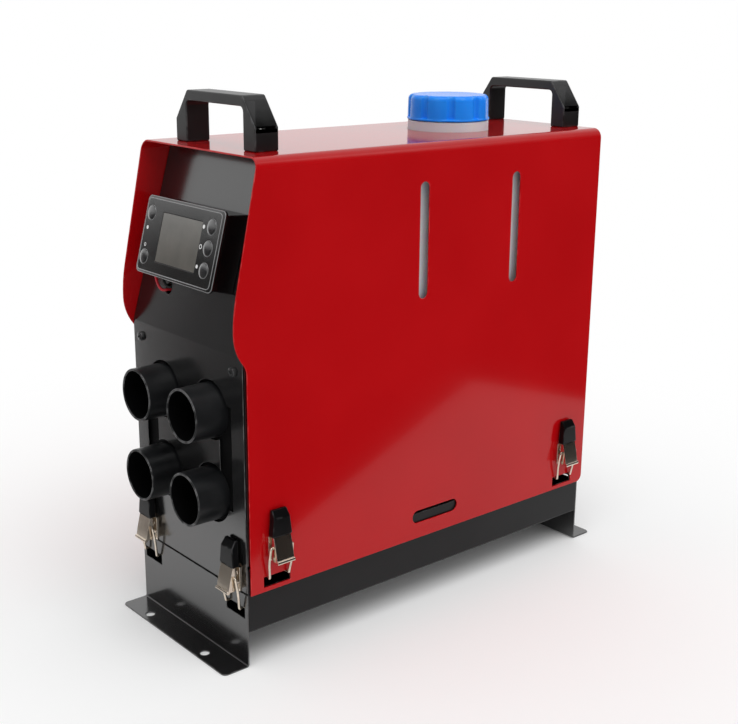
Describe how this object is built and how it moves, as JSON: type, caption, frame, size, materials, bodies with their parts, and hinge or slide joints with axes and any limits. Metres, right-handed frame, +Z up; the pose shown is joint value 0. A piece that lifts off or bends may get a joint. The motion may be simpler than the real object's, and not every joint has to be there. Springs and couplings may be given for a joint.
{
  "type": "diesel air heater",
  "caption": "Portable diesel air heater: upright sheet-metal cabinet with hood, sloped controller, duct outlets, draw latches, bridge handles and a fuel tank with screw cap.",
  "frame": {"origin": "on the ground under the middle of the whole heater", "axes": "+Z up; -Y to the front, where the outlets and the controller are; +X to the right of someone who looks at the front, the side shown in the picture"},
  "size_m": [0.1744, 0.4086, 0.4096],
  "materials": {
    "red_paint": "gloss",
    "black_paint": "gloss",
    "black_plastic": "satin",
    "duct_plastic": "satin",
    "display_plastic": "gloss",
    "button_plastic": "satin",
    "nickel": "polished",
    "screw_steel": "satin",
    "tank_plastic": "satin",
    "cap_plastic": "gloss",
    "seal_rubber": "matt",
    "zinc_steel": "satin",
    "cast_aluminium": "cast",
    "motor_steel": "satin",
    "circuit_board": "gloss",
    "hose_rubber": "matt",
    "wire_plastic": "gloss",
    "fan_plastic": "satin"
  },
  "bodies": {
    "heater": {"base_tray": "black_paint", "blower_motor": "motor_steel", "control_board": "circuit_board", "controller_bezel": "black_plastic", "controller_board": "circuit_board", "controller_housing": "black_plastic", "controller_wires": "wire_plastic", "display_window": "display_plastic", "duct_manifold": "duct_plastic", "front_foot": "black_paint", "front_handle": "black_plastic", "front_panel": "black_paint", "fuel_hose": "hose_rubber", "fuel_pump": "motor_steel", "fuel_tank": "tank_plastic", "glow_plug": "motor_steel", "handle_screws": "screw_steel", "heat_exchanger": "cast_aluminium", "heater_bracket": "zinc_steel", "heater_casing": "black_plastic", "latch_bases": "nickel", "latch_rivets": "nickel", "outlet_lower_left": "duct_plastic", "outlet_lower_right": "duct_plastic", "outlet_upper_left": "duct_plastic", "outlet_upper_right": "duct_plastic", "panel_screws": "screw_steel", "power_gland": "black_plastic", "rear_foot": "black_paint", "rear_handle": "black_plastic", "rear_panel": "black_paint", "shell_cover": "red_paint", "tank_shelf": "zinc_steel"},
    "button_upper_left": {"button_upper_left": "button_plastic"},
    "button_lower_left": {"button_lower_left": "button_plastic"},
    "button_upper_right": {"button_upper_right": "button_plastic"},
    "button_middle_right": {"button_middle_right": "button_plastic"},
    "button_lower_right": {"button_lower_right": "button_plastic"},
    "cap_lift": {"cap_seal": "seal_rubber"},
    "cap": {"tank_cap": "cap_plastic"},
    "lever_front_left": {"latch_lever_front_left": "nickel", "latch_grip_front_left": "black_plastic"},
    "bail_front_left": {"latch_bail_front_left": "nickel"},
    "lever_front_right": {"latch_lever_front_right": "nickel", "latch_grip_front_right": "black_plastic"},
    "bail_front_right": {"latch_bail_front_right": "nickel"},
    "lever_right_front": {"latch_lever_right_front": "nickel", "latch_grip_right_front": "black_plastic"},
    "bail_right_front": {"latch_bail_right_front": "nickel"},
    "lever_left_front": {"latch_lever_left_front": "nickel", "latch_grip_left_front": "black_plastic"},
    "bail_left_front": {"latch_bail_left_front": "nickel"},
    "lever_right_rear": {"latch_lever_right_rear": "nickel", "latch_grip_right_rear": "black_plastic"},
    "bail_right_rear": {"latch_bail_right_rear": "nickel"},
    "lever_left_rear": {"latch_lever_left_rear": "nickel", "latch_grip_left_rear": "black_plastic"},
    "bail_left_rear": {"latch_bail_left_rear": "nickel"},
    "rotor": {"fan_wheel": "fan_plastic", "combustion_wheel": "cast_aluminium"}
  },
  "joints": [
    {"name": "button_upper_left_press", "type": "slide", "parent": "heater", "child": "button_upper_left", "axis": [0, 0.9659, -0.2588], "range_m": [0, 0.001], "stiffness_N_per_m": 300},
    {"name": "button_lower_left_press", "type": "slide", "parent": "heater", "child": "button_lower_left", "axis": [0, 0.9659, -0.2588], "range_m": [0, 0.001], "stiffness_N_per_m": 300},
    {"name": "button_upper_right_press", "type": "slide", "parent": "heater", "child": "button_upper_right", "axis": [0, 0.9659, -0.2588], "range_m": [0, 0.001], "stiffness_N_per_m": 300},
    {"name": "button_middle_right_press", "type": "slide", "parent": "heater", "child": "button_middle_right", "axis": [0, 0.9659, -0.2588], "range_m": [0, 0.001], "stiffness_N_per_m": 300},
    {"name": "button_lower_right_press", "type": "slide", "parent": "heater", "child": "button_lower_right", "axis": [0, 0.9659, -0.2588], "range_m": [0, 0.001], "stiffness_N_per_m": 300},
    {"name": "cap_rise", "type": "slide", "parent": "heater", "child": "cap_lift", "axis": [0, 0, 1], "range_m": [0, 0.006]},
    {"name": "cap_turn", "type": "hinge", "parent": "cap_lift", "child": "cap", "pos_m": [0, 0.0795, 0.38], "axis": [0, 0, 1], "range_deg": [0, 540]},
    {"name": "lever_front_left_swing", "type": "hinge", "parent": "heater", "child": "lever_front_left", "pos_m": [-0.058, -0.1861, 0.0625], "axis": [1, 0, 0], "range_deg": [0, 100]},
    {"name": "bail_front_left_swing", "type": "hinge", "parent": "lever_front_left", "child": "bail_front_left", "pos_m": [-0.058, -0.1858, 0.071], "axis": [1, 0, 0], "range_deg": [-140, 0]},
    {"name": "lever_front_right_swing", "type": "hinge", "parent": "heater", "child": "lever_front_right", "pos_m": [0.058, -0.1861, 0.0625], "axis": [1, 0, 0], "range_deg": [0, 100]},
    {"name": "bail_front_right_swing", "type": "hinge", "parent": "lever_front_right", "child": "bail_front_right", "pos_m": [0.058, -0.1858, 0.071], "axis": [1, 0, 0], "range_deg": [-140, 0]},
    {"name": "lever_right_front_swing", "type": "hinge", "parent": "heater", "child": "lever_right_front", "pos_m": [0.0812, -0.1537, 0.0845], "axis": [0, 1, 0], "range_deg": [0, 100]},
    {"name": "bail_right_front_swing", "type": "hinge", "parent": "lever_right_front", "child": "bail_right_front", "pos_m": [0.0809, -0.1537, 0.093], "axis": [0, 1, 0], "range_deg": [-140, 0]},
    {"name": "lever_left_front_swing", "type": "hinge", "parent": "heater", "child": "lever_left_front", "pos_m": [-0.0812, -0.1537, 0.0845], "axis": [0, -1, 0], "range_deg": [0, 100]},
    {"name": "bail_left_front_swing", "type": "hinge", "parent": "lever_left_front", "child": "bail_left_front", "pos_m": [-0.0809, -0.1537, 0.093], "axis": [0, -1, 0], "range_deg": [-140, 0]},
    {"name": "lever_right_rear_swing", "type": "hinge", "parent": "heater", "child": "lever_right_rear", "pos_m": [0.0812, 0.1588, 0.0845], "axis": [0, 1, 0], "range_deg": [0, 100]},
    {"name": "bail_right_rear_swing", "type": "hinge", "parent": "lever_right_rear", "child": "bail_right_rear", "pos_m": [0.0809, 0.1588, 0.093], "axis": [0, 1, 0], "range_deg": [-140, 0]},
    {"name": "lever_left_rear_swing", "type": "hinge", "parent": "heater", "child": "lever_left_rear", "pos_m": [-0.0812, 0.1588, 0.0845], "axis": [0, -1, 0], "range_deg": [0, 100]},
    {"name": "bail_left_rear_swing", "type": "hinge", "parent": "lever_left_rear", "child": "bail_left_rear", "pos_m": [-0.0809, 0.1588, 0.093], "axis": [0, -1, 0], "range_deg": [-140, 0]},
    {"name": "blower_spin", "type": "hinge", "parent": "heater", "child": "rotor", "pos_m": [0, 0.1228, 0.14515], "axis": [0, 1, 0], "continuous": true}
  ],
  "couplings": [
    {"joint": "cap_rise", "follows": "cap_turn", "m_per_rad": 0.00063662},
    {"joint": "bail_front_left_swing", "follows": "lever_front_left_swing", "ratio": -1.4},
    {"joint": "bail_front_right_swing", "follows": "lever_front_right_swing", "ratio": -1.4},
    {"joint": "bail_right_front_swing", "follows": "lever_right_front_swing", "ratio": -1.4},
    {"joint": "bail_left_front_swing", "follows": "lever_left_front_swing", "ratio": -1.4},
    {"joint": "bail_right_rear_swing", "follows": "lever_right_rear_swing", "ratio": -1.4},
    {"joint": "bail_left_rear_swing", "follows": "lever_left_rear_swing", "ratio": -1.4}
  ]
}
